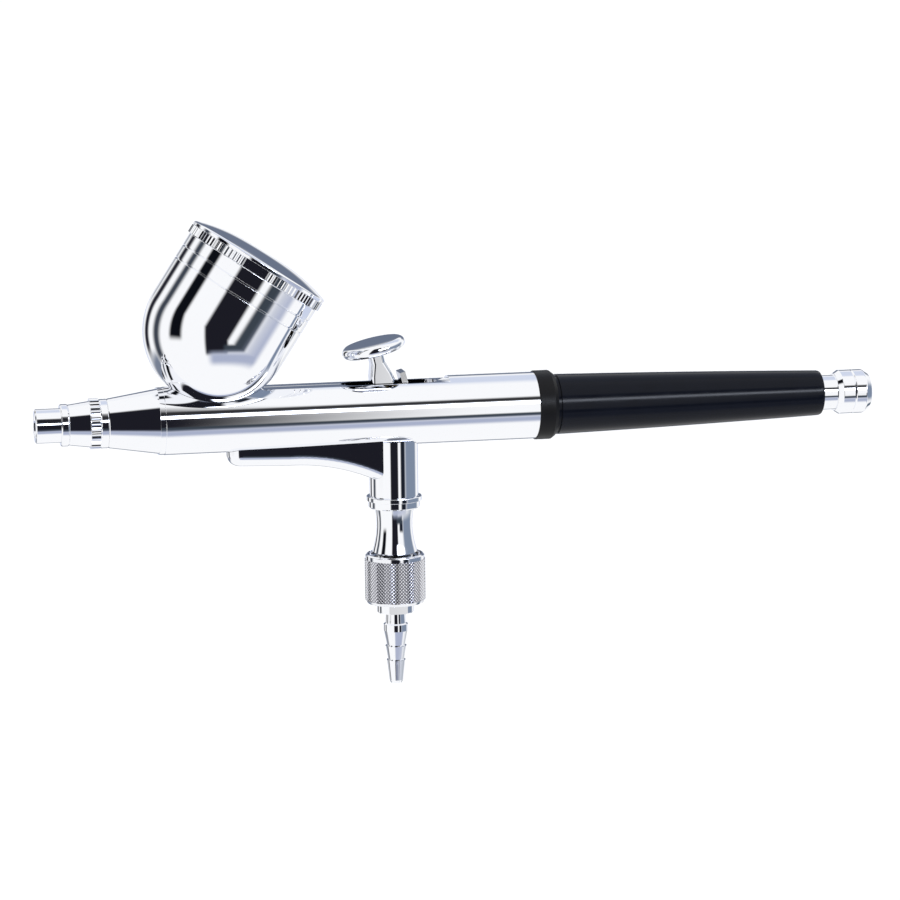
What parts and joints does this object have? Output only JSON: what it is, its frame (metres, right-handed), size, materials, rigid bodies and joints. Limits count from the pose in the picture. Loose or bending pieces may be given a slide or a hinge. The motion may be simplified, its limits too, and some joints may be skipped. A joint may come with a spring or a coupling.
{
  "type": "airbrush",
  "caption": "Pen-shaped dual-action airbrush with tilted lidded paint cup, trigger, black handle, and a quick-release air coupling with hose barb.",
  "frame": {"origin": "crossing of the barrel's axis and the air valve's axis, where a holder would support the gun", "axes": "-X is the nozzle and +X the end of the handle, +Z is the paint cup's side and -Z the hose, Y is across"},
  "size_m": [0.152, 0.0266, 0.0843],
  "materials": {
    "chrome": "mirror polished",
    "satin_nickel": "satin, diamond knurled",
    "steel": "ground",
    "spring_steel": "drawn wire",
    "brass": "machined",
    "black_handle": "gloss",
    "black_ring": "satin",
    "seal_black": "smooth",
    "seal_white": "smooth"
  },
  "bodies": {
    "root": {"needle_cap": "chrome", "air_cap": "chrome", "fluid_nozzle": "steel", "nozzle_washer": "seal_white", "head_cone": "chrome", "head_gasket": "chrome", "barrel": "chrome", "paint_cup": "chrome", "finger_guard": "chrome", "needle_packing": "seal_white", "packing_screw": "brass", "valve_spring": "spring_steel", "valve_casing": "chrome", "valve_screw": "brass", "plug_washer": "seal_black", "quick_plug": "chrome", "needle_spring": "spring_steel", "spring_case": "brass", "trim_ring": "black_ring", "handle": "black_handle"},
    "lid": {"cup_lid": "chrome"},
    "piston": {"valve_piston": "steel", "valve_plunger": "brass", "valve_oring": "seal_black"},
    "trigger": {"trigger_stem": "chrome", "trigger_button": "chrome"},
    "lever": {"auxiliary_lever": "steel"},
    "needle_train": {"needle": "steel", "needle_guide": "brass", "chuck_nut": "chrome"},
    "stop_ring": {"stop_oring": "seal_black"},
    "knob": {"stop_knob": "chrome", "stop_screw": "brass"},
    "coupler": {"coupler_body": "chrome", "coupler_balls": "steel", "snap_ring": "spring_steel", "coupler_seal": "seal_black", "collar_spring": "spring_steel", "hose_barb": "chrome"},
    "collar": {"coupler_collar": "satin_nickel"}
  },
  "joints": [
    {"name": "lid_lift", "type": "slide", "parent": "root", "child": "lid", "axis": [0.5476, 0, 0.8368], "range_m": [0, 0.02]},
    {"name": "trigger_press", "type": "slide", "parent": "root", "child": "piston", "axis": [0, 0, -1], "range_m": [0, 0.0018], "stiffness_N_per_m": 900, "deforming": ["valve_spring"]},
    {"name": "trigger_pull", "type": "hinge", "parent": "piston", "child": "trigger", "pos_m": [0, 0, -0.003], "axis": [0, 1, 0], "range_deg": [0, 26.05]},
    {"name": "lever_swing", "type": "hinge", "parent": "root", "child": "lever", "pos_m": [0.00245, 0, -0.0032], "axis": [0, 1, 0], "range_deg": [0, 20.3]},
    {"name": "needle_slide", "type": "slide", "parent": "root", "child": "needle_train", "axis": [1, 0, 0], "range_m": [0, 0.0026], "stiffness_N_per_m": 1800, "deforming": ["needle_spring"]},
    {"name": "stop_advance", "type": "slide", "parent": "root", "child": "stop_ring", "axis": [1, 0, 0], "range_m": [-0.0021, 0]},
    {"name": "stop_turn", "type": "hinge", "parent": "stop_ring", "child": "knob", "pos_m": [0.085, 0, 0], "axis": [1, 0, 0], "range_deg": [-1081, 0]},
    {"name": "coupler_swivel", "type": "hinge", "parent": "root", "child": "coupler", "pos_m": [0, 0, -0.03], "axis": [0, 0, 1], "continuous": true},
    {"name": "collar_pull", "type": "slide", "parent": "coupler", "child": "collar", "axis": [0, 0, -1], "range_m": [0, 0.0025], "stiffness_N_per_m": 600, "deforming": ["collar_spring"]}
  ],
  "couplings": [
    {"joint": "lever_swing", "follows": "needle_slide", "rad_per_m": 136.14},
    {"joint": "trigger_pull", "follows": "needle_slide", "rad_per_m": 174.53},
    {"joint": "stop_turn", "follows": "stop_advance", "rad_per_m": 8976}
  ]
}
